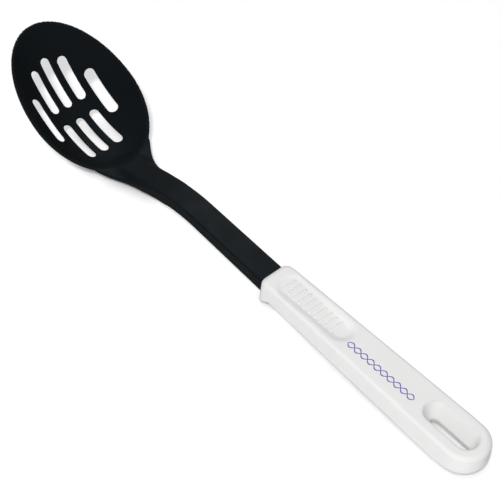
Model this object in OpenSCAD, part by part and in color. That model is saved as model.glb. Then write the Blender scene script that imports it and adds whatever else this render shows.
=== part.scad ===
// Slotted serving spoon: a black moulded spoon whose tang is snapped into a white grip.
// It lies on its back on a table: +X points to the tip of the bowl, +Z is up.

/* [Bowl] */
// Width of the bowl across its rim
bowl_w = 59.4; // [48:0.2:72]
// Length of the rim from its widest place to the tip
tip_len = 46.3; // [34:0.5:54]
// Length of the rim from its widest place to the heel
heel_len = 39; // [32:0.5:48]
// Depth of the hollow below the rim
bowl_depth = 17; // [11:0.5:22]
// Thickness of the bowl's wall
wall = 1.7; // [1.4:0.1:2.6]
// Fullness of the hollow: 2 is a paraboloid, more is a flatter floor
bowl_fullness = 2.3; // [1.9:0.1:3]
// Distance along the shaft's axis from the tongue's nose to the middle of the bowl
nose_gap = 29; // [26:0.5:33]
// Height of the rim's middle above the tongue's nose
nose_rise = 19.2; // [17:0.2:21]
// Angle of the rim up from the shaft's axis
rim_angle = 24; // [16:1:30]
// Length of the flare from the heel's sides into the neck
flare_len = 25; // [20:0.5:30]
// Half width of the flare where it ends inside the neck
flare_half_w = 6.2; // [5:0.1:6.4]
// Thickness of the flare at the neck
flare_t = 2.6; // [2.4:0.1:4]
// Height by which the flare bends up to meet the neck
flare_lift = 12.6; // [6:0.2:13]

/* [Slots] */
// Width of each slot
slot_w = 4.7; // [4.4:0.1:6]
// Distance between neighbouring slots across the bowl
slot_pitch = 8.15; // [7.4:0.05:9]
// Length of the middle slot on the tip's side
tip_mid_len = 26.2; // [16:0.2:28]
// Length of its two neighbours
tip_side_len = 23; // [14:0.2:25]
// Length of the three slots on the neck's side
neck_slot_len = 22.2; // [14:0.2:24]
// Length of the two outer slots
outer_slot_len = 25.2; // [16:0.2:28]
// Gap between the two rows of slots
row_gap = 7; // [4:0.2:10]
// Distance from the bowl's middle to the middle of that gap
row_gap_shift = 1.5; // [0:0.1:3]
// Distance from the bowl's middle to the middle of the outer slots
outer_slot_shift = 3.1; // [0:0.1:5]

/* [Shaft] */
// Width of the shaft at the bend
shaft_w = 12.6; // [9:0.1:14]
// Thickness of the shaft at the bend
shaft_t = 6.5; // [5:0.1:7.4]
// Width of the shaft at the grip
root_w = 13; // [10:0.1:14]
// Thickness of the shaft at the grip
root_t = 7.5; // [6:0.1:8]
// Length of the straight stretch in front of the grip
straight_len = 47.7; // [35:0.1:60]
// Radius of the bend towards the neck
bend_r = 77; // [50:1:110]
// Angle of the neck down from the shaft's axis
neck_angle = 18.2; // [12:0.2:22]
// Length of the neck from the bend to the nose of its raised tongue
neck_len = 38; // [34:0.5:44]
// Thickness of the tongue at its nose
tongue_t = 2.8; // [2.2:0.1:4]
// Radius along the shaft's edges
shaft_edge_r = 0.9; // [0.4:0.1:1.5]

/* [Grip] */
// Length of the grip
grip_len = 132.6; // [110:0.5:160]
// Width of the grip behind its nose
grip_front_w = 17; // [16:0.2:21]
// Width of the grip at its round end
grip_end_w = 22.4; // [19:0.2:28]
// Thickness of the grip at the front
grip_front_t = 11.4; // [10.8:0.1:14]
// Thickness of the grip at the end
grip_end_t = 14.8; // [11:0.1:17]
// Radius along the grip's edges
grip_edge_r = 1.8; // [0.8:0.1:2.4]
// Radius along the nose's upper edge
nose_edge_r = 3.6; // [2:0.1:4.2]
// Radius along the upper edge of the round end
end_top_r = 2.8; // [2:0.1:4]
// Radius along the lower edge of the round end
end_under_r = 6.2; // [3:0.1:7]
// Length over which the edges grow rounder towards the end
round_len = 22; // [16:1:40]
// Plan radius of the nose's shoulders
shoulder_r = 5; // [4.4:0.1:5.8]
// Height of the grip's middle above the shaft's axis at the nose
grip_rise = 1.5; // [1:0.1:2.6]
// Angle between the grip's middle line and the shaft's axis
grip_angle = 2.3; // [1:0.1:4.4]
// Depth of the finger guard below the grip
guard_drop = 6; // [4:0.1:7]
// Length of the finger guard along the grip
guard_len = 7.2; // [6:0.2:14]

/* [Thumb recess] */
// Length of the recess
recess_len = 45.5; // [42:0.5:56]
// Width of the recess
recess_w = 13.2; // [10:0.2:13.4]
// Depth of the recess at its front
recess_front_t = 0.5; // [0.3:0.1:0.8]
// Depth of the recess at its back
recess_back_t = 1.8; // [1:0.1:2.2]
// Distance from the nose to the recess
recess_start = 6.6; // [5:0.2:10]
// Number of ribs
rib_count = 10; // [5:1:13]
// Distance between the ribs
rib_pitch = 3.4; // [2.4:0.1:4]
// Radius of a rib
rib_r = 0.8; // [0.5:0.05:1]
// Length of a rib
rib_len = 8.8; // [6:0.2:10]
// Distance from the nose to the first rib
rib_start = 11.6; // [11:0.2:14]

/* [Hanging slot] */
// Width of the throat
hang_w = 4.7; // [4.6:0.2:7]
// Length of the throat
hang_len = 22.6; // [16:0.5:32]
// Distance from the throat to the grip's end
hang_end = 8.6; // [7.6:0.2:16]
// Depth of the throat below the grip's middle plane
hang_drop = 1.6; // [0:0.1:3.4]
// Width of the slope around the throat, above
hang_slope = 3.5; // [2:0.1:4.4]
// Width of the slope around the throat, below
hang_under_slope = 1.9; // [1:0.1:2.4]

/* [Joint] */
// Width of the tang
tang_w = 8; // [6:0.1:9]
// Thickness of the tang
tang_t = 3.8; // [3:0.1:4.4]
// Length of the tang behind the shaft's shoulder
tang_len = 38; // [25:0.5:45]
// Depth of the seat that takes the end of the shaft
seat_depth = 4; // [3:0.2:6]
// Clearance around the shaft and the tang
fit = 0.15; // [0.1:0.05:0.3]
// Height of each snap barb
barb_h = 0.9; // [0.5:0.1:1.2]
// Length of each snap barb
barb_len = 5; // [3:0.2:7]

/* [Hidden] */
$fn = 48;
// Overrun of every cut
overrun = 1;
// Depth by which pieces of one moulding run into each other
bury = 1;

// Steps of the smooth forms
bowl_sides = 28;
flare_steps = 8;
bowl_rings = 14;
bend_steps = 8;
nose_steps = 6;
edge_steps = 4;
round_steps = 8;
side_steps = 22;
guard_steps = 8;

// Skin over closed rings of equal length. Each ring runs along its right half and back along
// its left half, so its end caps are strips between mirrored points.
module skin(rings) {
    n = len(rings[0]);
    last = len(rings) - 1;
    sides = [for (i = [0 : last - 1], j = [0 : n - 1], t = [0, 1])
        let (a = i * n + j, b = i * n + (j + 1) % n, c = b + n, d = a + n)
        t == 0 ? [a, d, c] : [a, c, b]];
    strip = [for (i = [0 : n / 2 - 2], t = [0, 1])
        let (a = i, b = i + 1, c = n - i - 2, d = n - i - 1)
        t == 0 ? [a, b, c] : [a, c, d]];
    top = [for (f = strip) [for (k = [2, 1, 0]) f[k] + last * n]];
    polyhedron(points = [for (r = rings, p = r) p], faces = concat(sides, strip, top));
}

module stadium(length, width) {
    square([length - width, width], center = true);
    for (s = [-1, 1])
        translate([s * (length - width) / 2, 0])
            circle(d = width);
}

// Shaft and neck: the middle line with the angle it runs at
function shaft_line(along) =
    let (bend_len = bend_r * neck_angle * PI / 180,
         turn = neck_angle * min(1, max(0, (along - straight_len) / bend_len)),
         rest = max(0, along - straight_len - bend_len))
    [min(along, straight_len) + bend_r * sin(turn) + rest * cos(turn),
     -bend_r * (1 - cos(turn)) - rest * sin(turn),
     turn];
bend_end = straight_len + bend_r * neck_angle * PI / 180;
shaft_end = bend_end + neck_len;
// The tongue's nose carries the bowl
bowl_x = shaft_line(shaft_end)[0] + nose_gap;
bowl_z = shaft_line(shaft_end)[1] + nose_rise;

// Bowl, in the frame of its rim: u towards the tip, v to the left, w up.
// Its outline is an ellipse that flares into the neck behind the heel's sides.
rim_half_w = bowl_w / 2;
// Angle round the rim at which the flare starts, and the hollowness of its sides
flare_turn = 138;
flare_power = 1.47;
function outline_point(k, inset) =
    let (turn = flare_turn * min(1, (k + 1 / 2) / (bowl_sides - 1 / 2)),
         share = max(0, (k - bowl_sides + 1) / flare_steps),
         side = (rim_half_w - inset) * sin(turn),
         reach = ((cos(turn) > 0 ? tip_len : heel_len) - inset) * cos(turn),
         neck = flare_half_w - inset)
    share == 0 ? [reach, side]
    : [reach - (flare_len - inset) * share, neck + (side - neck) * pow(1 - share, flare_power)];
// How far a place lies towards the rim: 0 in the middle, 1 on the ellipse
function rim_share(u, v, inset) =
    norm([u / ((u > 0 ? tip_len : heel_len) - inset), v / (rim_half_w - inset)]);
function hollow(u, v, inset, depth) =
    depth * (1 - min(1, pow(rim_share(u, v, inset), bowl_fullness)));
// Along the flare: 0 beside the heel, 1 at its end inside the neck
function flare_share(u) = max(0, (-u - heel_len * (-cos(flare_turn))) / flare_len);
function ease(share) = (1 - cos(180 * min(1, share))) / 2;
function under(u, v) = max(hollow(u, v, 0, bowl_depth + wall), flare_t * ease(2 * flare_share(u)));
function bowl_ring(share, inner) =
    let (inset = inner ? wall : 0,
         last = bowl_sides + flare_steps - 1,
         half = [for (k = [0 : last]) share * outline_point(k, inset)],
         full = concat([for (p = half) [p[0], -p[1]]], [for (k = [last : -1 : 0]) half[k]]))
    [for (p = full)
        [p[0], p[1], flare_lift * pow(flare_share(p[0]), 2)
            - (inner ? hollow(p[0], p[1], wall, bowl_depth) : under(p[0], p[1]))]];
inner_rings = [for (i = [1 : bowl_rings]) bowl_ring(i / bowl_rings, true)];
outer_rings = [for (i = [bowl_rings : -1 : 1]) bowl_ring(i / bowl_rings, false)];

tip_row = row_gap_shift + row_gap / 2;
neck_row = row_gap_shift - row_gap / 2;
// Each slot: middle along the bowl, place across it in pitches, length
slots = concat(
    [[tip_row + tip_mid_len / 2, 0, tip_mid_len]],
    [for (s = [-1, 1]) [tip_row + tip_side_len / 2, s, tip_side_len]],
    [for (s = [-1, 0, 1]) [neck_row - neck_slot_len / 2, s, neck_slot_len]],
    [for (s = [-2, 2]) [outer_slot_shift, s, outer_slot_len]]);
slot_cut = bowl_depth + wall + 2 * overrun;

module bowl() {
    translate([bowl_x, 0, bowl_z])
        rotate([0, -rim_angle, 0])
            difference() {
                skin(concat(inner_rings, outer_rings));
                for (s = slots)
                    translate([s[0], s[1] * slot_pitch, overrun - slot_cut])
                        linear_extrude(slot_cut)
                            stadium(s[2], slot_w);
            }
}

// Section across the line at the given place
function shaft_ring(along, half_w, top, bottom, edge) =
    let (at = shaft_line(along),
         corners = [for (c = [[-1, 1], [-1, -1]], a = [0 : 2])
             let (turn = 90 + (c[1] > 0 ? 0 : 90) + a * 45)
             [c[0] * (half_w - edge) + edge * cos(turn),
              (c[1] > 0 ? top - edge : bottom + edge) + edge * sin(turn)]],
         full = concat(corners, [for (i = [len(corners) - 1 : -1 : 0]) [-corners[i][0], corners[i][1]]]))
    [for (p = full) [at[0] + p[1] * sin(at[2]), p[0], at[1] + p[1] * cos(at[2])]];

// The shaft grows towards the grip, and the neck thins from below towards the nose of the tongue
function root_share(along) = 1 - min(1, max(0, along / straight_len));
function half_wide(along) = (shaft_w + (root_w - shaft_w) * root_share(along)) / 2;
function half_thick(along) = (shaft_t + (root_t - shaft_t) * root_share(along)) / 2;
function neck_share(along) = max(0, (along - bend_end) / neck_len);
function neck_bottom(along) = -half_thick(along) + (shaft_t - tongue_t) * neck_share(along);
nose_r = shaft_w / 2;
function nose_half_w(turn) = shaft_edge_r + (nose_r - shaft_edge_r) * cos(turn);
// Angle at which the rounded nose of the tongue ends in a small flat
nose_turn = 80;
shaft_places = concat(
    [-seat_depth + fit, 0, straight_len / 2],
    [for (i = [0 : bend_steps]) straight_len + (bend_end - straight_len) * i / bend_steps],
    [bend_end + neck_len / 3, bend_end + neck_len * 2 / 3]);

module shaft() {
    skin(concat(
        [for (s = shaft_places)
            shaft_ring(s, half_wide(s), half_thick(s), neck_bottom(s), shaft_edge_r)],
        [for (i = [0 : nose_steps])
            let (turn = nose_turn * i / nose_steps,
                 s = shaft_end - nose_r + nose_r * sin(turn))
            shaft_ring(s, nose_half_w(turn), shaft_t / 2, neck_bottom(s), shaft_edge_r)]));
}

// Tang: a flat bar with a snap barb on each side
tang_end = seat_depth + tang_len;
barb_at = seat_depth + tang_len * 2 / 3;
module barbs(grow) {
    for (s = [-1, 1])
        mirror([0, s > 0 ? 0 : 1, 0])
            translate([-barb_at, tang_w / 2, 0])
                linear_extrude(tang_t / 2 + grow, center = true)
                    polygon([[-barb_len - grow, -bury], [-barb_len - grow, grow],
                             [-grow, barb_h + grow], [grow, barb_h + grow], [grow, -bury]]);
}
module tang() {
    translate([-tang_end, -tang_w / 2, -tang_t / 2])
        cube([tang_end + bury, tang_w, tang_t]);
    barbs(0);
}

// Grip, in its own frame: x towards the bowl from the nose, z up from its middle line
end_r = grip_end_w / 2;
straight_end = grip_len - end_r;
function grip_half_w(back) =
    let (share = (back - shoulder_r) / (straight_end - shoulder_r))
    grip_front_w / 2 + (end_r - grip_front_w / 2) * share;
function grip_half_t(back) = (grip_front_t + (grip_end_t - grip_front_t) * back / grip_len) / 2;
// The finger guard is a ramp that falls towards the nose
function guard(back) = guard_drop * (1 - min(1, back / guard_len));
// The edges above (1) grow rounder towards the nose and the end, those below (-1) towards the end
function edge_r(back, side) =
    let (nose_share = side > 0 ? 1 - ease(max(0, back / guard_len)) : 0,
         end_share = ease(max(0, (back - grip_len) / round_len + 1)))
    grip_edge_r + (nose_edge_r - grip_edge_r) * nose_share
        + ((side > 0 ? end_top_r : end_under_r) - grip_edge_r) * end_share;
// Right half of the outline, moved in by a share of the edge radius
function half_outline(side, share) = concat(
    [for (i = [0 : round_steps])
        let (turn = 90 * i / round_steps,
             r = shoulder_r - edge_r(shoulder_r * (1 - cos(turn)), side) * share)
        [-shoulder_r + r * cos(turn), grip_front_w / 2 - shoulder_r + r * sin(turn)]],
    [for (i = [1 : guard_steps])
        let (back = shoulder_r + (guard_len - shoulder_r) * i / guard_steps)
        [-back, grip_half_w(back) - edge_r(back, side) * share]],
    [for (i = [1 : side_steps - 1])
        let (back = guard_len + (straight_end - guard_len) * i / side_steps)
        [-back, grip_half_w(back) - edge_r(back, side) * share]],
    [for (i = [0 : round_steps])
        let (turn = 90 + 90 * i / (round_steps + 1 / 2),
             r = end_r - edge_r(straight_end - end_r * cos(turn), side) * share)
        [-straight_end + r * cos(turn), r * sin(turn)]]);
function grip_ring(side, lift) =
    let (half = half_outline(side, 1 - sin(lift)),
         full = concat(half, [for (i = [len(half) - 1 : -1 : 0]) [half[i][0], -half[i][1]]]))
    [for (p = full)
        let (half_t = grip_half_t(-p[0]),
             drop = edge_r(-p[0], side) * (1 - cos(lift)))
        [p[0], p[1], side > 0 ? half_t - drop : drop - half_t - guard(-p[0])]];
grip_rings = concat(
    [for (i = [0 : edge_steps]) grip_ring(-1, 90 * i / edge_steps)],
    [for (i = [edge_steps : -1 : 0]) grip_ring(1, 90 * i / edge_steps)]);

// Thumb recess: a scoop with round ends and sloping walls, deeper away from the nose
recess_r = recess_w / 2;
recess_end = recess_start + recess_len;
wall_run_share = 2;
function recess_deep(back) =
    recess_front_t + (recess_back_t - recess_front_t) * (back - recess_start) / recess_len;
// Its floor, or its mouth above the grip's top
function recess_ring(is_floor) =
    let (half = [for (e = [0, 1], i = [0 : round_steps])
             let (turn = e * 90 + 90 * (i + (1 - e) / 2) / (round_steps + 1 / 2),
                  middle = e == 0 ? recess_start + recess_r : recess_end - recess_r,
                  deep = is_floor ? recess_deep(middle - recess_r * cos(turn)) : -overrun,
                  back = middle - (recess_r - deep * wall_run_share) * cos(turn))
             [-back, (recess_r - deep * wall_run_share) * sin(turn), grip_half_t(back) - deep]])
    concat(half, [for (i = [len(half) - 1 : -1 : 0]) [half[i][0], -half[i][1], half[i][2]]]);
module recess() {
    skin([recess_ring(true), recess_ring(false)]);
}
module ribs() {
    for (i = [0 : rib_count - 1])
        let (back = rib_start + i * rib_pitch)
            translate([-back, 0, grip_half_t(back) - recess_deep(back) - rib_r / 3])
                rotate([90, 0, 0])
                    cylinder(r = rib_r, h = rib_len, center = true);
}

// Hanging slot: its walls slope out from a throat in the lower half of the grip
hang_mid = grip_len - hang_end - hang_len / 2;
hang_half_t = grip_half_t(hang_mid);
hang_run = hang_len - hang_w;
mouth_half_t = hang_half_t + overrun;
// Half the width at a cut's end, for a slope that starts at the throat and runs on past the face
function mouth_half_w(slope, throat_t) = hang_w / 2 + slope * (1 + overrun / throat_t);
module half_throat() {
    polygon([[0, -mouth_half_t], [mouth_half_w(hang_under_slope, hang_half_t - hang_drop), -mouth_half_t],
             [hang_w / 2, -hang_drop], [mouth_half_w(hang_slope, hang_half_t + hang_drop), mouth_half_t],
             [0, mouth_half_t]]);
}
module hang_slot() {
    translate([-hang_mid, 0, 0]) {
        for (s = [-1, 1])
            translate([s * hang_run / 2, 0, 0])
                rotate_extrude()
                    half_throat();
        rotate([90, 0, 90])
            linear_extrude(hang_run, center = true) {
                half_throat();
                mirror([1, 0]) half_throat();
            }
    }
}

// Room for the end of the shaft, the tang and its barbs
module socket() {
    translate([-seat_depth, -root_w / 2 - fit, -root_t / 2 - fit])
        cube([seat_depth + overrun, root_w + 2 * fit, root_t + 2 * fit]);
    translate([-tang_end - fit, -tang_w / 2 - fit, -tang_t / 2 - fit])
        cube([tang_end + fit + overrun, tang_w + 2 * fit, tang_t + 2 * fit]);
    barbs(fit);
}

// Rest: the angle at which bowl and grip touch the table together, found by halving
grip_lows = [for (p = grip_rings[0])
    [p[0] * cos(grip_angle) + p[2] * sin(grip_angle),
     grip_rise - p[0] * sin(grip_angle) + p[2] * cos(grip_angle)]];
bowl_lows = [for (r = outer_rings, p = r)
    [bowl_x + p[0] * cos(rim_angle) - p[2] * sin(rim_angle),
     bowl_z + p[0] * sin(rim_angle) + p[2] * cos(rim_angle)]];
function low(points, tilt) = min([for (p = points) p[0] * sin(tilt) + p[1] * cos(tilt)]);
function rest_tilt(under, over, steps) =
    let (middle = (under + over) / 2)
    steps == 0 ? middle
    : low(bowl_lows, middle) < low(grip_lows, middle) ? rest_tilt(middle, over, steps - 1)
    : rest_tilt(under, middle, steps - 1);
tilt = rest_tilt(-rim_angle, rim_angle, 30);
function across(points, tilt) = [for (p = points) p[0] * cos(tilt) - p[1] * sin(tilt)];
grip_back = min(across(
    [for (r = grip_rings, p = r)
        [p[0] * cos(grip_angle) + p[2] * sin(grip_angle),
         grip_rise - p[0] * sin(grip_angle) + p[2] * cos(grip_angle)]], tilt));
bowl_front = max(across(bowl_lows, tilt));

module rest() {
    translate([-(grip_back + bowl_front) / 2, 0, -low(bowl_lows, tilt)])
        rotate([0, -tilt, 0])
            children();
}

module spoon() {
    color([0.07, 0.08, 0.09])
        rest() {
            bowl();
            shaft();
            tang();
        }
}

module grip() {
    color([0.93, 0.93, 0.93])
        rest()
            difference() {
                translate([0, 0, grip_rise])
                    rotate([0, grip_angle, 0]) {
                        difference() {
                            skin(grip_rings);
                            recess();
                            hang_slot();
                        }
                        ribs();
                    }
                socket();
            }
}

spoon();
grip();
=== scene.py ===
# %% [markdown]
# # A slotted serving spoon
# The real thing is two mouldings: a black nylon spoon, and a white plastic grip that is pushed over
# its tang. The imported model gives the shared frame, so every piece below is made where the solids
# already are: +X runs to the tip of the bowl, +Z is up and the spoon lies on a table at z = 0.

# %% Load the frame
import math
import bpy
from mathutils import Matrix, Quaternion, Vector


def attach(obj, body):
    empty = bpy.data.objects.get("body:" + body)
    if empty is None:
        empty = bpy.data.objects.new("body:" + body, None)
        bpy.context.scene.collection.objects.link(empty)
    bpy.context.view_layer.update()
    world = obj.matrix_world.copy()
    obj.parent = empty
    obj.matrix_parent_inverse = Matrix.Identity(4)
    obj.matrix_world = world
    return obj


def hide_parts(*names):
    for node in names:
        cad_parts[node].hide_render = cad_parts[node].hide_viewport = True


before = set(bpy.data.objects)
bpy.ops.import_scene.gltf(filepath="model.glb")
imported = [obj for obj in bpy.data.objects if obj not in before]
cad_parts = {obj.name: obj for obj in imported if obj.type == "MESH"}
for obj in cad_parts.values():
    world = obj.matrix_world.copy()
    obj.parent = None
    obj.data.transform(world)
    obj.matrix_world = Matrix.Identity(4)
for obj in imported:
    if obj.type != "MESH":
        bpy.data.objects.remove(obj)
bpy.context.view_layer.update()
print("nodes:", sorted(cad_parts))

# %% [markdown]
# ## Sizes
# Both mouldings follow one set of sizes, in millimetres. The rules below work in three frames: the
# table's, the shaft's (its origin is at the grip's nose, on the shaft's axis) and the rim's (u to
# the tip, w out of the bowl). Two turns and two shifts lead from one frame to the next.

# %% Sizes in millimetres, angles in degrees
mm = 0.001
spoon_sizes = {
    "Bowl width": 59.4, "Tip length": 46.3, "Heel length": 39.0, "Bowl depth": 17.0,
    "Wall": 1.7, "Fullness": 2.3,
    "Flare length": 25.0, "Flare half width": 6.2, "Flare thickness": 2.6, "Flare lift": 12.6,
    "Slot width": 4.7, "Slot pitch": 8.15, "Tip middle slot": 26.2, "Tip side slot": 23.0,
    "Neck slot": 22.2, "Outer slot": 25.2, "Slot edge": 0.7,
    "Shaft width": 12.6, "Shaft thickness": 6.5, "Root width": 13.0, "Root thickness": 7.5,
    "Shaft edge": 0.9, "Neck edge": 2.6, "Straight length": 47.7, "Bend radius": 77.0,
    "Neck length": 38.0, "Tongue thickness": 2.8, "Tongue fillet": 6.5, "Tongue fade": 16.0,
    "Tongue sink": 1.6,
    "Tang width": 8.0, "Tang thickness": 3.8, "Tang end": 42.0, "Shaft end": 3.85,
}
bowl_reach, bowl_rise, rim_angle = 136.849, 3.479, 24.0
neck_angle, flare_turn, flare_power, flare_tail = 18.2, 138.0, 1.47, 0.4
row_gap, row_gap_shift, outer_shift = 7.0, 1.5, 3.1
table_tilt, table_shift = 3.92795, (-22.2127, 9.41113)
print(len(spoon_sizes), "named sizes for the spoon")

# %% [markdown]
# ## A field that adds its own nodes
# Geometry Nodes can fill a block of space with a number for each place. Where that number is the
# distance to a surface, the surface can be drawn out of it, and two forms are joined with a fillet
# by a smooth minimum. Such formulas are long as nodes, so this small class writes them: each sum in
# Python adds a Math node.

# %% The field helper
class Field:
    """A socket that adds a Math node for each sum it is part of."""

    def __init__(self, tree, socket):
        self.tree = tree
        self.socket = socket

    def math(self, operation, *values):
        node = self.tree.nodes.new("ShaderNodeMath")
        node.operation = operation
        for slot, value in zip(node.inputs, values):
            if isinstance(value, Field):
                self.tree.links.new(value.socket, slot)
            else:
                slot.default_value = value
        return Field(self.tree, node.outputs[0])

    def __add__(self, other):
        return self.math("ADD", self, other)

    def __sub__(self, other):
        return self.math("SUBTRACT", self, other)

    def __rsub__(self, other):
        return self.math("SUBTRACT", other, self)

    def __mul__(self, other):
        return self.math("MULTIPLY", self, other)

    def __truediv__(self, other):
        return self.math("DIVIDE", self, other)

    def __rtruediv__(self, other):
        return self.math("DIVIDE", other, self)

    def __pow__(self, other):
        return self.math("POWER", self, other)

    def __neg__(self):
        return self.math("MULTIPLY", self, -1)

    def __abs__(self):
        return self.math("ABSOLUTE", self)

    __radd__ = __add__
    __rmul__ = __mul__


print("a Field adds Math nodes to its tree")

# %% [markdown]
# ## Words for shapes
# A few short words keep the rules readable: the larger of two distances is what both forms share,
# the smaller one is both forms together, and the soft kinds round the edge or fill the corner.

# %% Words for shapes
def larger(a, b):
    return a.math("MAXIMUM", a, b)


def smaller(a, b):
    return a.math("MINIMUM", a, b)


def clamp(a):
    return smaller(larger(a, 0.0), 1.0)


def cosine(a):
    return a.math("COSINE", a)


def sine(a):
    return a.math("SINE", a)


def ease(a):
    """A soft step from 0 to 1."""
    return (1 - cosine(a * math.pi)) / 2


def length2(a, b):
    square = a * a + b * b
    return square.math("SQRT", square)


def slant(slope):
    """Length along a slope for each unit of run."""
    square = slope * slope + 1
    return square.math("SQRT", square)


def soft_cut(a, b, radius):
    """Where both forms are, with the edge between them rounded."""
    return a.math("SMOOTH_MAX", a, b, radius)


def soft_join(a, b, radius):
    """Both forms, with a fillet between them."""
    return a.math("SMOOTH_MIN", a, b, radius)


def round_edge(a, b, radius):
    """Where both forms are, with a true radius on the edge between them."""
    p, q = a + radius, b + radius
    return length2(larger(p, 0.0), larger(q, 0.0)) + smaller(larger(p, q), 0.0) - radius


def choose(past, before, after):
    """before where past is 0, after where it is 1."""
    return before + (after - before) * past


def beyond(a, place):
    return a.math("GREATER_THAN", a, place)


def turned(a, b, degrees):
    c, s = math.cos(math.radians(degrees)), math.sin(math.radians(degrees))
    return a * c + b * s, b * c - a * s


print("words for joining, cutting and turning")

# %% [markdown]
# ## From rule to mesh
# A rule gets its own tree: named inputs for the sizes, the place in millimetres, and at the end a
# block of voxels, a mesh through the places where the distance is nought, and the material. The
# voxels are fine enough for the roundings, and the mesh then becomes a plain one, so nothing is
# left to evaluate later.

# %% Trees for rules
def start_rule(name, sizes):
    tree = bpy.data.node_groups.new(name, "GeometryNodeTree")
    tree.interface.new_socket("Geometry", in_out="OUTPUT", socket_type="NodeSocketGeometry")
    for size in sizes:
        tree.interface.new_socket(size, in_out="INPUT", socket_type="NodeSocketFloat")
    given = tree.nodes.new("NodeGroupInput")
    size_fields = {size: Field(tree, given.outputs[size]) for size in sizes}
    place = tree.nodes.new("ShaderNodeSeparateXYZ")
    tree.links.new(tree.nodes.new("GeometryNodeInputPosition").outputs[0], place.inputs[0])
    return tree, size_fields, [Field(tree, socket) for socket in place.outputs]


def end_rule(tree, geometry, material):
    realize = tree.nodes.new("GeometryNodeRealizeInstances")
    finish = tree.nodes.new("GeometryNodeSetMaterial")
    finish.inputs["Material"].default_value = material
    tree.links.new(geometry, realize.inputs[0])
    tree.links.new(realize.outputs[0], finish.inputs["Geometry"])
    tree.links.new(finish.outputs[0], tree.nodes.new("NodeGroupOutput").inputs[0])


def mesh_from_rule(name, tree, sizes):
    carrier = bpy.data.objects.new(name + "_rule", bpy.data.meshes.new(name + "_rule"))
    bpy.context.scene.collection.objects.link(carrier)
    modifier = carrier.modifiers.new("rule", "NODES")
    modifier.node_group = tree
    for socket in tree.interface.items_tree:
        if socket.in_out == "INPUT":
            modifier[socket.identifier] = sizes[socket.name]
    evaluated = carrier.evaluated_get(bpy.context.evaluated_depsgraph_get())
    mesh = bpy.data.meshes.new_from_object(evaluated)
    mesh.name = name
    carrier.modifiers.remove(modifier)
    bpy.data.objects.remove(carrier)
    piece = bpy.data.objects.new(name, mesh)
    bpy.context.scene.collection.objects.link(piece)
    print(name, len(mesh.vertices), "points,", len(mesh.polygons), "faces")
    return piece


print("a rule starts with sizes and ends as a plain mesh")

# %% [markdown]
# ## A skin that knows its edges
# On a real spoon the edges wear first. So the mesh keeps one number for each point: how far it
# stands out over the points around it. It is found by blurring the places and measuring along the
# normal, and the finish uses it later: as wear on the black spoon, and as painted shade that greys
# the white grip's edges.

# %% The skin of a rule
edge_blur_steps = 4
edge_metres = 0.00012
voxels_in_band = 6


def mark_edges(tree, geometry):
    """Keep how far each point stands out: 1 on an edge, 0 on a flat face, less in a groove."""
    place = tree.nodes.new("GeometryNodeInputPosition").outputs[0]
    blur = tree.nodes.new("GeometryNodeBlurAttribute")
    blur.data_type = "FLOAT_VECTOR"
    value = next(socket for socket in blur.inputs if socket.enabled and socket.name == "Value")
    blur.inputs["Iterations"].default_value = edge_blur_steps
    tree.links.new(place, value)
    stands_out = tree.nodes.new("ShaderNodeVectorMath")
    stands_out.operation = "SUBTRACT"
    tree.links.new(place, stands_out.inputs[0])
    blurred = next(socket for socket in blur.outputs if socket.enabled)
    tree.links.new(blurred, stands_out.inputs[1])
    outwards = tree.nodes.new("ShaderNodeVectorMath")
    outwards.operation = "DOT_PRODUCT"
    tree.links.new(stands_out.outputs[0], outwards.inputs[0])
    tree.links.new(tree.nodes.new("GeometryNodeInputNormal").outputs[0], outwards.inputs[1])
    keep = tree.nodes.new("GeometryNodeStoreNamedAttribute")
    keep.data_type, keep.domain = "FLOAT", "POINT"
    keep.inputs["Name"].default_value = "edge"
    edge = Field(tree, outwards.outputs["Value"]) / edge_metres
    tree.links.new(edge.socket, keep.inputs["Value"])
    tree.links.new(geometry, keep.inputs["Geometry"])
    return keep.outputs[0]


def voxel_skin(tree, distance, low, high, voxel, material):
    block = tree.nodes.new("GeometryNodeVolumeCube")
    inside = clamp(0.5 - distance / (2 * voxels_in_band * voxel))
    tree.links.new(inside.socket, block.inputs["Density"])
    block.inputs["Min"].default_value = low
    block.inputs["Max"].default_value = high
    for axis, a, b in zip("XYZ", low, high):
        block.inputs["Resolution " + axis].default_value = int((b - a) / voxel) + 1
    skin = tree.nodes.new("GeometryNodeVolumeToMesh")
    skin.inputs["Threshold"].default_value = 0.5
    to_metres = tree.nodes.new("GeometryNodeTransform")
    to_metres.inputs["Scale"].default_value = (mm, mm, mm)
    smooth = tree.nodes.new("GeometryNodeSetShadeSmooth")
    tree.links.new(block.outputs[0], skin.inputs["Volume"])
    tree.links.new(skin.outputs[0], to_metres.inputs["Geometry"])
    tree.links.new(to_metres.outputs[0], smooth.inputs[0])
    end_rule(tree, mark_edges(tree, smooth.outputs[0]), material)


print("a skin keeps its edges for the finish")

# %% [markdown]
# ## The moulded surface
# Both mouldings come out of a spark-eroded mould, so they share a very fine grain and a slow
# unevenness. Use leaves thin scuffs along the length and polishes the edges. That is one group of
# nodes for both: it puts out a height for the bump, a tone that drifts over the surface, a mask of
# scuffs and a mask of edges, rubbed on the spoon and given painted shade on the grip. The edges
# come from the number that the mesh keeps.

# %% The moulded surface group
def new_group(name, inputs, outputs):
    group = bpy.data.node_groups.new(name, "ShaderNodeTree")
    for title, value in inputs.items():
        socket = group.interface.new_socket(title, in_out="INPUT", socket_type="NodeSocketFloat")
        socket.default_value = value
    for title in outputs:
        group.interface.new_socket(title, in_out="OUTPUT", socket_type="NodeSocketFloat")
    return group, group.nodes.new("NodeGroupInput"), group.nodes.new("NodeGroupOutput")


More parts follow.
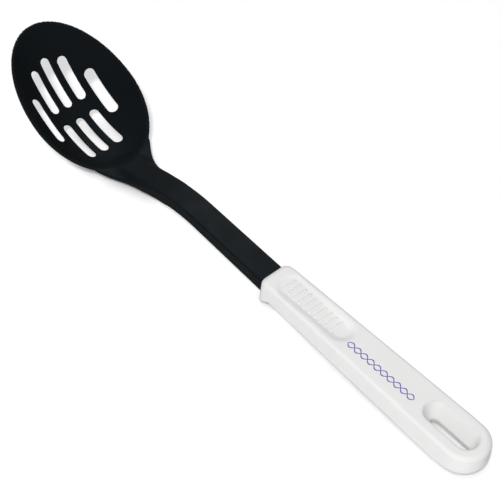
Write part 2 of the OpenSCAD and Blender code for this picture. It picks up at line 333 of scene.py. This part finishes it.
def map_range(tree, value, low, high, to_low=0.0, to_high=1.0):
    node = tree.nodes.new("ShaderNodeMapRange")
    for slot, number in (("From Min", low), ("From Max", high),
                         ("To Min", to_low), ("To Max", to_high)):
        node.inputs[slot].default_value = number
    tree.links.new(value, node.inputs["Value"])
    return Field(tree, node.outputs["Result"])


surface_group, given, out = new_group(
    "moulded surface",
    {"Grain per metre": 2600.0, "Waves per metre": 90.0, "Scuffs per metre": 900.0},
    ("Height", "Tone", "Scuff", "Edge"))
scuff_stretch = 0.05
patch_band, scuff_band, edge_band = (0.45, 0.6), (0.66, 0.74), (0.15, 1.0)
grain_band, least_rubbed_or_shaded = (0.3, 0.7), 0.5
spot = surface_group.nodes.new("ShaderNodeTexCoord").outputs["Object"]
stretch = surface_group.nodes.new("ShaderNodeMapping")
stretch.inputs["Scale"].default_value = (scuff_stretch, 1.0, 1.0)
surface_group.links.new(spot, stretch.inputs["Vector"])
noises = {}
for name, vector, detail in (("Grain", spot, 3.0), ("Waves", spot, 2.0),
                             ("Scuffs", stretch.outputs[0], 1.0)):
    noise = surface_group.nodes.new("ShaderNodeTexNoise")
    noise.inputs["Detail"].default_value = detail
    surface_group.links.new(vector, noise.inputs["Vector"])
    surface_group.links.new(given.outputs[name + " per metre"], noise.inputs["Scale"])
    noises[name] = noise.outputs["Fac"]
patches = map_range(surface_group, noises["Waves"], *patch_band)
scuffs = map_range(surface_group, noises["Scuffs"], *scuff_band) * patches
kept_edge = surface_group.nodes.new("ShaderNodeAttribute")
kept_edge.attribute_name = "edge"
# Mask of the edges: wear on the black spoon, painted shade on the white grip
rubbed_or_shaded = map_range(surface_group, kept_edge.outputs["Fac"], *edge_band)
rubbed_or_shaded = rubbed_or_shaded * map_range(surface_group, noises["Grain"], *grain_band, least_rubbed_or_shaded, 1.0)
for name, socket in (("Height", noises["Grain"]), ("Tone", noises["Waves"]),
                     ("Scuff", scuffs.socket), ("Edge", rubbed_or_shaded.socket)):
    surface_group.links.new(socket, out.inputs[name])
print("group:", surface_group.name)

# %% [markdown]
# ## Two plastics
# The spoon is a nylon dyed black all through, with a dull and slightly cool sheen. The grip is a
# harder white plastic from a smoother mould; its edges are painted a little grey, a painted shade
# that tones down the light on their rounding. Only numbers differ, so one function makes both:
# colours, wear on the spoon's edges, painted shade on the grip's, roughness, sheen and bump.

# %% Materials
scuff_share, scuff_rough, scuff_depth = 0.35, 0.08, 0.4
edge_polish, tone_band, grain_metres = 0.1, (0.3, 0.7), 0.0001


def mix_colour(tree, share, first, second):
    node = tree.nodes.new("ShaderNodeMix")
    node.data_type = "RGBA"
    for slot, colour in (("A", first), ("B", second)):
        socket = next(i for i in node.inputs if i.enabled and i.name == slot)
        if isinstance(colour, tuple):
            socket.default_value = (*colour, 1)
        else:
            tree.links.new(colour, socket)
    tree.links.new(share, next(i for i in node.inputs if i.enabled and i.name == "Factor"))
    return next(o for o in node.outputs if o.enabled)


def moulded_plastic(name, dark, light, scuffed, rubbed_or_shaded, rubbed_or_shaded_share, rough, specular, tint, bump):
    """Drifting colour and roughness, scuffs, and an edge colour: wear on black, painted shade on
    white.
    """
    material = bpy.data.materials.new(name)
    material.use_nodes = True
    tree = material.node_tree
    shader = tree.nodes["Principled BSDF"]
    surface = tree.nodes.new("ShaderNodeGroup")
    surface.node_tree = surface_group
    height, tone, scuff, edge = (Field(tree, surface.outputs[mask])
                                 for mask in ("Height", "Tone", "Scuff", "Edge"))
    colour = mix_colour(tree, tone.socket, dark, light)
    colour = mix_colour(tree, (scuff * scuff_share).socket, colour, scuffed)
    # Edge colour: wear on the black spoon, painted shade on the white grip
    colour = mix_colour(tree, (edge * rubbed_or_shaded_share).socket, colour, rubbed_or_shaded)
    tree.links.new(colour, shader.inputs["Base Color"])
    drift = map_range(tree, tone.socket, *tone_band, *rough)
    roughness = drift + scuff * scuff_rough - edge * edge_polish
    tree.links.new(roughness.socket, shader.inputs["Roughness"])
    grain = tree.nodes.new("ShaderNodeBump")
    grain.inputs["Strength"].default_value = bump
    grain.inputs["Distance"].default_value = grain_metres
    tree.links.new((height - scuff * scuff_depth).socket, grain.inputs["Height"])
    tree.links.new(grain.outputs["Normal"], shader.inputs["Normal"])
    shader.inputs["Specular IOR Level"].default_value = specular
    shader.inputs["Specular Tint"].default_value = (*tint, 1)
    return material


black_nylon = moulded_plastic(
    "black_nylon", dark=(0.0033, 0.0048, 0.0060), light=(0.0046, 0.0063, 0.0077),
    scuffed=(0.008, 0.010, 0.0115), rubbed_or_shaded=(0.0065, 0.0085, 0.010), rubbed_or_shaded_share=0.5,
    rough=(0.5, 0.6), specular=0.3, tint=(0.78, 0.94, 1.0), bump=0.18)
white_plastic = moulded_plastic(
    "white_plastic", dark=(0.718, 0.718, 0.713), light=(0.756, 0.756, 0.751),
    # Painted shade: the white grip's edges are painted greyer than its faces, against the light
    # there
    scuffed=(0.70, 0.70, 0.69), rubbed_or_shaded=(0.57, 0.57, 0.565), rubbed_or_shaded_share=0.9,
    rough=(0.42, 0.52), specular=0.12, tint=(1.0, 1.0, 1.0), bump=0.08)
print("finishes:", black_nylon.name, white_plastic.name)

# %% [markdown]
# ## A plain ornament on the grip
# Between the recess and the hanging slot lies a small ornament in violet: a plain braid of two
# waves, pad-printed on the top. A soft pad can lay such thin lines on a face that isn't quite flat.
# A group of nodes gives the mask of the lines from the place alone, in metres, so the print stays
# sharp at any size.

# %% The printed braid
violet = (0.12, 0.075, 0.37)
line_fade = (0.7, 1.3)
braid_group, given, out = new_group(
    "printed braid", {"Start": -0.075, "End": -0.1156, "Across": 0.0027, "Height": 0.0014,
                      "Wave": 0.00812, "Half line": 0.0003, "Lowest": 0.009}, ("Mask",))
spot = braid_group.nodes.new("ShaderNodeSeparateXYZ")
object_place = braid_group.nodes.new("ShaderNodeTexCoord").outputs["Object"]
braid_group.links.new(object_place, spot.inputs[0])
px, py, pz = (Field(braid_group, socket) for socket in spot.outputs)
ask = {socket.name: Field(braid_group, socket) for socket in given.outputs if socket.name}
crest = abs(sine((px - ask["Start"]) * (2 * math.pi) / ask["Wave"])) * ask["Height"]
off_line = abs(abs(py - ask["Across"]) - crest) / ask["Half line"]
line = map_range(braid_group, off_line.socket, *line_fade, 1.0, 0.0)
on_print = beyond(ask["Start"], px) * beyond(px, ask["End"]) * beyond(pz, ask["Lowest"])
braid_group.links.new((line * on_print).socket, out.inputs["Mask"])
tree = white_plastic.node_tree
braid = tree.nodes.new("ShaderNodeGroup")
braid.node_tree = braid_group
base_colour = tree.nodes["Principled BSDF"].inputs["Base Color"]
plain = base_colour.links[0].from_socket
tree.links.new(mix_colour(tree, braid.outputs["Mask"], plain, violet), base_colour)
print("print on:", white_plastic.name)

# %% [markdown]
# ## The bowl's oval
# The bowl is a shell between two hollows over an oval rim, longer at the tip than at the heel. A
# mould makes it from a core and a cavity, one wall apart. Both are one formula here: the share of
# the way to the rim, raised to a power that makes the bowl fuller than a cone.

# %% The bowl's oval
spoon_tree, size, (x, y, z) = start_rule("spoon rule", spoon_sizes)
along, above = turned(x - table_shift[0], z - table_shift[1], table_tilt)
u, w = turned(along - bowl_reach, above - bowl_rise, rim_angle)
v = abs(y)
least_share = 0.0001


def oval(inset):
    """Share of the way to the rim, and how fast it grows."""
    long = choose(beyond(u, 0.0), size["Heel length"], size["Tip length"]) - inset
    wide = size["Bowl width"] / 2 - inset
    share = length2(u / long, v / wide)
    growth = length2(u / (long * long), v / (wide * wide)) / larger(share, least_share)
    return share, growth


rim_share, rim_growth = oval(0.0)
inner_share, _ = oval(size["Wall"])
outer_depth = size["Bowl depth"] + size["Wall"]
outer_hollow = outer_depth * (1 - smaller(rim_share ** size["Fullness"], 1.0))
print("oval rim:", spoon_sizes["Tip length"] + spoon_sizes["Heel length"], "mm long")

# %% [markdown]
# ## The flare behind the heel
# Behind the heel the bowl's outline flares into the neck and bends up to meet it, so that the load
# of a full bowl spreads into the shell. The flare goes on for a short tail inside the shaft, where
# it can't be seen. Without it the fillet would start with a bump.

# %% The flare
tail_rise, tail_narrowing = 1.6, 3.6
flare_start = size["Heel length"] * math.cos(math.radians(flare_turn))
flare_run = smaller(larger((flare_start - u) / size["Flare length"], 0.0), 1 + flare_tail)
flare = smaller(flare_run, 1.0)
tail = (flare_run - flare) / flare_tail
flare_end = flare_start - size["Flare length"] * (1 + flare_tail)
lift = size["Flare lift"] * (flare * flare + tail_rise * (flare_run - flare))
lift_slope = size["Flare lift"] * flare * 2 / size["Flare length"]
flare_under = size["Flare thickness"] * ease(smaller(flare * 2, 1.0)) * (1 - tail)
side_at_flare = size["Bowl width"] / 2 * math.sin(math.radians(flare_turn))
widening = (side_at_flare - size["Flare half width"]) * (1 - flare) ** flare_power
flare_half = size["Flare half width"] + widening - tail_narrowing * tail
print("flare:", spoon_sizes["Flare length"], "mm long")

# %% [markdown]
# ## The bowl's shell
# The heights over and under the shell are measured straight up, so on a steep wall they are too
# long. Dividing by the slant of the wall makes them true distances, which the roundings need. The
# edge is the oval around the bowl and the flare behind the heel.

# %% The bowl's shell
sharp_heel, soft_heel, heel_rate = 0.8, 5.3, 2.5
heel_from, heel_band = 0.95, 0.15
flare_lean, flare_rate = 0.8, 5
rim_edge, under_edge, under_fillet = 0.9, 0.5, 1.0
heel_softness = choose(smaller(flare * heel_rate, 1.0), sharp_heel, soft_heel)
inner_hollow = soft_cut(
    size["Bowl depth"] * (1 - inner_share ** size["Fullness"]), 0.0, heel_softness)
hollow_slope = (outer_depth * size["Fullness"]
                * smaller(rim_share, 1.0) ** (size["Fullness"] - 1) * rim_growth)
on_heel = clamp((rim_share - heel_from) / heel_band)
level = 1 / slant(length2(hollow_slope * (1 - on_heel), lift_slope))
over_shell = (w - lift + inner_hollow) * level
under_shell = (lift - soft_cut(outer_hollow, flare_under, under_fillet) - w) * level
past_oval = (rim_share - 1) / rim_growth
past_flare = larger((v - flare_half) * flare_lean, flare_end - u)
past_rim = choose(smaller(flare * flare_rate, 1.0), past_oval, past_flare)
bowl = soft_cut(soft_cut(over_shell, past_rim, rim_edge), under_shell, under_edge)
print("bowl:", spoon_sizes["Wall"], "mm wall")

# %% [markdown]
# ## The drain slots
# Eight slots let the liquid out: three at the tip, three at the neck and one outside on each side.
# Blades in the mould leave them, and all blades point the same way, so that the mould can open. The
# rule does the same: it cuts straight through, across the rim. It counts from the middle to either
# side, so five rules are enough.

# %% The slots' rule
def slot(middle, pitches, long):
    half = size["Slot width"] / 2
    reach = larger(abs(u - middle) - (long / 2 - half), 0.0)
    return length2(reach, v - size["Slot pitch"] * pitches) - half


tip_row = row_gap_shift + row_gap / 2
neck_row = row_gap_shift - row_gap / 2
slots = [slot(size["Tip middle slot"] / 2 + tip_row, 0.0, size["Tip middle slot"]),
         slot(size["Tip side slot"] / 2 + tip_row, 1.0, size["Tip side slot"]),
         slot(neck_row - size["Neck slot"] / 2, 0.0, size["Neck slot"]),
         slot(neck_row - size["Neck slot"] / 2, 1.0, size["Neck slot"]),
         slot(outer_shift, 2.0, size["Outer slot"])]
nearest_slot = slots[0]
for other in slots[1:]:
    nearest_slot = smaller(nearest_slot, other)
bowl = soft_cut(bowl, -nearest_slot, size["Slot edge"])
print(len(slots), "rules for eight slots")

# %% [markdown]
# ## The shaft and its tongue
# The shaft is a flat bar along a line with one bend. Each place is first unrolled along that line,
# so the bar itself stays a simple one. At the far end it thins out into a raised tongue on the heel
# of the bowl and sinks into it. A wide fillet joins the two, as a mould maker would do to keep the
# neck from cracking. At the near end a thinner tang goes into the grip.

# %% The shaft's rule
neck_soft_from, tang_root = 0.35, 1
bend = size["Bend radius"]
across_bend = along - size["Straight length"]
above_bend = above + bend
turn = larger(across_bend.math("ARCTAN2", across_bend, above_bend), 0.0)
turn = smaller(turn, math.radians(neck_angle))
run = (size["Straight length"] + bend * turn
       + across_bend * cosine(turn) - above_bend * sine(turn))
height = across_bend * sine(turn) + above_bend * cosine(turn) - bend
bend_end = size["Straight length"] + bend * math.radians(neck_angle)
neck = clamp((run - bend_end) / size["Neck length"])
root = 1 - clamp(run / size["Straight length"])
shaft_half = choose(root, size["Shaft width"], size["Root width"]) / 2
half_thick = choose(root, size["Shaft thickness"], size["Root thickness"]) / 2
shaft_bottom = (size["Shaft thickness"] - size["Tongue thickness"]) * neck - half_thick
past_tongue = larger(run - (bend_end + size["Neck length"] - shaft_half), 0.0)
shaft_plan = length2(past_tongue, v) - shaft_half
fade = larger((run - bend_end - size["Neck length"]) / size["Tongue fade"] + 1, 0.0)
shaft_top = half_thick - size["Tongue sink"] * fade * fade
shaft_level = larger(height - shaft_top, shaft_bottom - height)
softened = larger(neck - neck_soft_from, 0.0) / (1 - neck_soft_from)
shaft_edge = choose(softened, size["Shaft edge"], size["Neck edge"])
shaft = larger(round_edge(shaft_plan, shaft_level, shaft_edge), -size["Shaft end"] - run)
tang = larger(larger(v - size["Tang width"] / 2, abs(above) - size["Tang thickness"] / 2),
              larger(-size["Tang end"] - along, along - tang_root))
spoon_rule = smaller(soft_join(bowl, shaft, size["Tongue fillet"]), tang)
print("spoon rule:", len(spoon_tree.nodes), "nodes")

# %% The spoon
spoon_low, spoon_high, spoon_voxel = (-66.5, -31.0, -1.5), (155.0, 31.0, 46.0), 0.445
voxel_skin(spoon_tree, spoon_rule, spoon_low, spoon_high, spoon_voxel, black_nylon)
spoon = mesh_from_rule("spoon_moulding", spoon_tree, spoon_sizes)

# %% [markdown]
# ## The grip
# The grip is thicker and wider at its end, so that it doesn't slip out of the hand. It ends in a
# half circle and drops into a finger guard below the nose. A two-part mould leaves soft edges along
# it and rounder ones at the nose and at the end, so the edge's radius changes on the way.

# %% The grip's rule
grip_sizes = {
    "Length": 132.6, "Front width": 17.0, "End width": 22.4,
    "Front thickness": 11.4, "End thickness": 14.8,
    "Edge": 1.8, "Nose edge": 3.4, "End top edge": 2.8, "End under edge": 6.2,
    "Round length": 22.0, "Shoulder": 3.7, "Nose lean": 0.09,
    "Guard drop": 5.3, "Guard length": 7.2,
    "Recess length": 45.5, "Recess width": 13.2, "Recess start": 6.6, "Recess edge": 0.7,
    "Recess front depth": 0.5, "Recess back depth": 1.8,
    "Throat width": 4.7, "Throat length": 22.6, "Throat end": 8.6, "Throat drop": 1.6,
    "Slope above": 3.5, "Slope below": 1.9, "Throat ridge": 0.5, "Mouth edge": 0.8,
    "Seat width": 13.3, "Seat height": 7.8, "Seat depth": 4.0,
    "Socket width": 8.3, "Socket height": 4.1, "Socket depth": 42.15,
}
grip_rise, grip_angle = 1.5, 2.3
grip_tree, size, (x, y, z) = start_rule("grip rule", grip_sizes)
along, above = turned(x - table_shift[0], z - table_shift[1], table_tilt)
ahead, up = turned(along, above - grip_rise, -grip_angle)
back = -ahead
v = abs(y)
end_half = size["End width"] / 2
straight = size["Length"] - end_half
taper = clamp((back - size["Shoulder"]) / (straight - size["Shoulder"]))
half_width = choose(taper, size["Front width"] / 2, end_half)
side = length2(larger(back - straight, 0.0), v) - half_width
plan = round_edge(side, ahead + up * size["Nose lean"], size["Shoulder"])
thickening = (size["End thickness"] - size["Front thickness"]) * back / size["Length"]
half_thick = (size["Front thickness"] + thickening) / 2
at_guard = 1 - clamp(back / size["Guard length"])
guard = size["Guard drop"] * at_guard
to_end = clamp((back - size["Length"]) / size["Round length"] + 1)
end_edge = choose(beyond(up, 0.0), size["End under edge"], size["End top edge"])
to_nose = at_guard * beyond(up, 0.0)
edge = (size["Edge"] + (size["Nose edge"] - size["Edge"]) * ease(to_nose)
        + (end_edge - size["Edge"]) * ease(to_end))
body = round_edge(plan, larger(up - half_thick, -up - half_thick - guard), edge)
print("grip:", grip_sizes["Length"], "mm long")


# %% [markdown]
# ## Recess, hanging slot and socket
# The top has a thumb recess whose floor slopes down towards the back. A hanging slot goes through
# near the end: its walls slope in from both faces to a narrow throat, as they do where two halves
# of a mould meet. From the nose, a seat for the shaft and a socket for the tang go in.

# %% The recess, the hanging slot and the socket
def stadium(middle, long, wide):
    half = wide / 2
    return length2(larger(abs(back - middle) - (long / 2 - half), 0.0), v) - half


def pocket(wide, high, deep):
    """A straight pocket from the nose, along the shaft."""
    return larger(larger(v - wide / 2, abs(above) - high / 2), -deep - along)


wall_run = 2.0
recess_slope = (size["Recess back depth"] - size["Recess front depth"]) / size["Recess length"]
recess_deep = size["Recess front depth"] + recess_slope * (back - size["Recess start"])
recess_plan = stadium(size["Recess start"] + size["Recess length"] / 2,
                      size["Recess length"], size["Recess width"])
recess_wall = (recess_plan + (half_thick - up) * wall_run) / math.hypot(1.0, wall_run)
recess = soft_cut(recess_wall, half_thick - recess_deep - up, size["Recess edge"])
throat = stadium(size["Length"] - size["Throat end"] - size["Throat length"] / 2,
                 size["Throat length"], size["Throat width"])
from_throat = up + size["Throat drop"]
slope_below = size["Slope below"] / (half_thick - size["Throat drop"])
slope_above = size["Slope above"] / (half_thick + size["Throat drop"])
slope_run = choose(beyond(from_throat, 0.0), slope_below, slope_above)
from_ridge = length2(from_throat, size["Throat ridge"]) - size["Throat ridge"]
mouth = (throat - slope_run * from_ridge) / slant(slope_run)
seat = pocket(size["Seat width"], size["Seat height"], size["Seat depth"])
socket = pocket(size["Socket width"], size["Socket height"], size["Socket depth"])
body = soft_cut(body, -recess, size["Recess edge"])
body = soft_cut(body, -mouth, size["Mouth edge"])
grip_rule = larger(body, -smaller(seat, socket))
print("grip rule:", len(grip_tree.nodes), "nodes")

# %% The grip
grip_low, grip_high, grip_voxel = (-155.5, -14.0, -1.5), (-18.5, 14.0, 18.0), 0.4
voxel_skin(grip_tree, grip_rule, grip_low, grip_high, grip_voxel, white_plastic)
grip = mesh_from_rule("grip_moulding", grip_tree, grip_sizes)

# %% [markdown]
# ## Ribs of the thumb recess
# Ten low ribs keep the thumb from slipping. They are one short rod with round ends, sunk by a third
# of its radius and repeated along the sloping floor of the recess. A line of points carries them,
# so their number and their pitch are two inputs of the tree.

# %% The ribs' tree
rib_sizes = {"Rib count": 10, "Rib pitch": 3.4, "First rib": 11.6, "Rib radius": 0.8,
             "Rib length": 8.8}
rib_points, rib_sides, least_square = 40, 16, 0.0004
rib_tree, size, (_, rib_y, _) = start_rule("rib rule", rib_sizes)
# The recess's floor over the grip's axis: its slope towards the end, and its height at the nose
floor_slope, floor_front = -0.01575, 5.3886
rib_nodes = {name: rib_tree.nodes.new("GeometryNode" + name) for name in (
    "MeshLine", "InstanceOnPoints", "CurvePrimitiveLine", "ResampleCurve", "SetCurveRadius",
    "CurvePrimitiveCircle", "CurveToMesh", "Transform", "SetShadeSmooth")}


def three(a, b, c):
    node = rib_tree.nodes.new("ShaderNodeCombineXYZ")
    for slot, value in zip(node.inputs, (a, b, c)):
        if isinstance(value, Field):
            rib_tree.links.new(value.socket, slot)
        else:
            slot.default_value = value
    return node.outputs[0]


def link(source, node, slot):
    rib_tree.links.new(source, rib_nodes[node].inputs[slot])


first, pitch = size["First rib"], size["Rib pitch"]
first_height = floor_front + first * floor_slope - size["Rib radius"] / 3
half_rib = size["Rib length"] / 2
link(size["Rib count"].socket, "MeshLine", "Count")
link(three(-first, 0.0, first_height), "MeshLine", "Start Location")
link(three(-pitch, 0.0, pitch * floor_slope), "MeshLine", "Offset")
link(three(0.0, -half_rib, 0.0), "CurvePrimitiveLine", "Start")
link(three(0.0, half_rib, 0.0), "CurvePrimitiveLine", "End")
rib_nodes["ResampleCurve"].inputs["Count"].default_value = rib_points
rib_nodes["CurvePrimitiveCircle"].inputs["Resolution"].default_value = rib_sides
rib_nodes["CurveToMesh"].inputs["Fill Caps"].default_value = True
rounding = larger(1 - (half_rib - abs(rib_y)) / size["Rib radius"], 0.0)
rib_profile = larger(1 - rounding * rounding, least_square) ** 0.5
link(rib_nodes["CurvePrimitiveLine"].outputs[0], "ResampleCurve", "Curve")
link(rib_nodes["ResampleCurve"].outputs[0], "SetCurveRadius", "Curve")
link(rib_profile.socket, "SetCurveRadius", "Radius")
link(size["Rib radius"].socket, "CurvePrimitiveCircle", "Radius")
link(rib_nodes["SetCurveRadius"].outputs[0], "CurveToMesh", "Curve")
link(rib_nodes["CurvePrimitiveCircle"].outputs[0], "CurveToMesh", "Profile Curve")
link(rib_profile.socket, "CurveToMesh", "Scale")
link(rib_nodes["MeshLine"].outputs[0], "InstanceOnPoints", "Points")
link(rib_nodes["CurveToMesh"].outputs[0], "InstanceOnPoints", "Instance")
print("rib rule:", len(rib_tree.nodes), "nodes")

# %% [markdown]
# ## From the grip to the table
# The ribs were laid out along the grip, in millimetres. One transform at the end of their tree
# tilts them with the grip, moves them to its nose and turns them into metres.

# %% Ribs on the grip
slope = math.radians(grip_angle - table_tilt)
tilt = math.radians(table_tilt)
to_table = rib_nodes["Transform"].inputs
to_table["Rotation"].default_value = (0.0, slope, 0.0)
to_table["Scale"].default_value = (mm, mm, mm)
to_table["Translation"].default_value = (
    mm * (table_shift[0] - grip_rise * math.sin(tilt)), 0.0,
    mm * (table_shift[1] + grip_rise * math.cos(tilt)))
link(rib_nodes["InstanceOnPoints"].outputs[0], "Transform", "Geometry")
link(rib_nodes["Transform"].outputs[0], "SetShadeSmooth", 0)
end_rule(rib_tree, rib_nodes["SetShadeSmooth"].outputs[0], white_plastic)
ribs = mesh_from_rule("grip_ribs", rib_tree, rib_sizes)

# %% [markdown]
# ## The frame's bodies
# Nothing moves on this spoon, so every piece rides on the one body. The two mouldings stand for the
# two solids, and the ribs come on top of the grip.

# %% Ride and replace
for piece, node, finish in ((spoon, "spoon", "nylon_black"), (grip, "grip", "plastic_white")):
    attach(piece, "root")
    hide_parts(node)
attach(ribs, "root")
print("pieces:", spoon.name, grip.name, ribs.name)

# %% [markdown]
# ## The table
# The photograph is a product shot on white. The table is a white sheet that keeps the soft shadow.
# For the camera it gives off a little light of its own, so that it is white away from the shadow
# without more light on the spoon. Where the spoon hides much of the room from the sheet, the glow
# is stronger: painted light that lifts the shade there. It goes out where the two all but touch, a
# painted shadow that keeps the thin line of contact dark.
# In mirror rays the sheet is a dim grey, a shaded copy of it, so the black plastic mirrors less of
# it.

# %% The table
table_metres, paper_white, paper_shaded_in_mirror = 6.0, 0.78, 0.2
glow_open, painted_light_in_shade, touching = 0.2, 0.38, 0.35
bpy.ops.mesh.primitive_plane_add(size=table_metres)
table = bpy.context.object
table.name = "table"
paper = bpy.data.materials.new("table_white")
paper.use_nodes = True
nodes, links = paper.node_tree.nodes, paper.node_tree.links
shader = nodes["Principled BSDF"]
shader.inputs["Base Color"].default_value = (paper_white, paper_white, paper_white, 1)
shader.inputs["Roughness"].default_value = 0.9
shader.inputs["Specular IOR Level"].default_value = 0.0
open_sky = {}
for reach, metres in (("near", 0.006), ("far", 0.25)):
    around = nodes.new("ShaderNodeAmbientOcclusion")
    around.inputs["Distance"].default_value = metres
    open_sky[reach] = Field(paper.node_tree, around.outputs["AO"])
# Painted shadow: the glow fades out where the spoon all but touches the sheet
away = map_range(paper.node_tree, open_sky["near"].socket, touching, 1.0)
# Painted light: more glow where the spoon hides the room, which lifts the shade there
glow_strength = (glow_open + painted_light_in_shade * (1 - open_sky["far"])) * away
glow = nodes.new("ShaderNodeEmission")
links.new(glow_strength.socket, glow.inputs["Strength"])
both = nodes.new("ShaderNodeAddShader")
seen = nodes.new("ShaderNodeMixShader")
mirrored = nodes.new("ShaderNodeMixShader")
# A shaded copy of the sheet, seen only in mirror rays
dim = nodes.new("ShaderNodeBsdfDiffuse")
dim.inputs["Color"].default_value = (paper_shaded_in_mirror, paper_shaded_in_mirror, paper_shaded_in_mirror, 1)
path = nodes.new("ShaderNodeLightPath")
for source, target in (
        (shader.outputs[0], both.inputs[0]), (glow.outputs[0], both.inputs[1]),
        (path.outputs["Is Camera Ray"], seen.inputs[0]),
        (shader.outputs[0], seen.inputs[1]), (both.outputs[0], seen.inputs[2]),
        (path.outputs["Is Glossy Ray"], mirrored.inputs[0]),
        (seen.outputs[0], mirrored.inputs[1]), (dim.outputs[0], mirrored.inputs[2]),
        (mirrored.outputs[0], nodes["Material Output"].inputs["Surface"])):
    links.new(source, target)
table.data.materials.append(paper)
print("table:", table.name)

# %% [markdown]
# ## The light
# The room is evenly white. One soft lamp a little above the camera and to its left throws the
# narrow shadow to the lower right, and two weak lamps without a shadow lift the left side and the
# far side. Nylon this dull shows no clear image of a lamp, so two of the lamps and most of the room
# are kept out of what it mirrors.

# %% The room's light
room_light, room_mirrored = 0.51, 0.12
world = bpy.data.worlds.new("room")
bpy.context.scene.world = world
world.use_nodes = True
sky = world.node_tree.nodes["Background"]
sky.inputs["Color"].default_value = (1, 1, 1, 1)
path = world.node_tree.nodes.new("ShaderNodeLightPath")
strength = map_range(world.node_tree, path.outputs["Is Glossy Ray"], 0.0, 1.0,
                     room_light, room_mirrored)
world.node_tree.links.new(strength.socket, sky.inputs["Strength"])


def soft_lamp(name, place, size, power, shadow, mirrored):
    data = bpy.data.lights.new(name, "AREA")
    data.shape = "DISK"
    data.size = size
    data.energy = power
    data.use_shadow = shadow
    lamp = bpy.data.objects.new(name, data)
    lamp.location = place
    lamp.visible_glossy = mirrored
    lamp.rotation_euler = (-Vector(place)).to_track_quat("-Z", "Y").to_euler()
    bpy.context.scene.collection.objects.link(lamp)
    print("lamp:", name, power, "W")


soft_lamp("front", place=(-0.975, 1.266, 2.538), size=0.42, power=45.0,
          shadow=True, mirrored=False)
soft_lamp("left", place=(-0.4, 0.88, 0.24), size=0.5, power=2.4,
          shadow=False, mirrored=False)
soft_lamp("back", place=(0.65, -0.57, 0.97), size=0.7, power=1.9,
          shadow=False, mirrored=True)

# %% [markdown]
# ## The camera
# The photograph was taken from some way off, from the grip's end and from the left. The place and
# the angles below were fitted to the outline, so the spoon falls on the same pixels.

# %% The camera
lens_pixels, picture_pixels, sensor_mm = 1800.0, 500.0, 36.0
camera_data = bpy.data.cameras.new("camera")
camera_data.sensor_width = sensor_mm
camera_data.lens = sensor_mm * lens_pixels / picture_pixels
camera_data.clip_start = 0.01
camera = bpy.data.objects.new("camera", camera_data)
camera.location = (-0.41020, 0.35998, 0.62951)
elevation, heading, roll = (math.radians(a) for a in (48.598, 41.791, 0.458))
forward = Vector((math.cos(elevation) * math.cos(heading),
                  -math.cos(elevation) * math.sin(heading), -math.sin(elevation)))
aim = forward.to_track_quat("-Z", "Y") @ Quaternion((0, 0, 1), roll)
camera.rotation_euler = aim.to_euler()
bpy.context.scene.collection.objects.link(camera)
bpy.context.scene.camera = camera
bpy.context.scene.view_settings.view_transform = "Standard"
print("lens in mm:", round(camera_data.lens, 1))
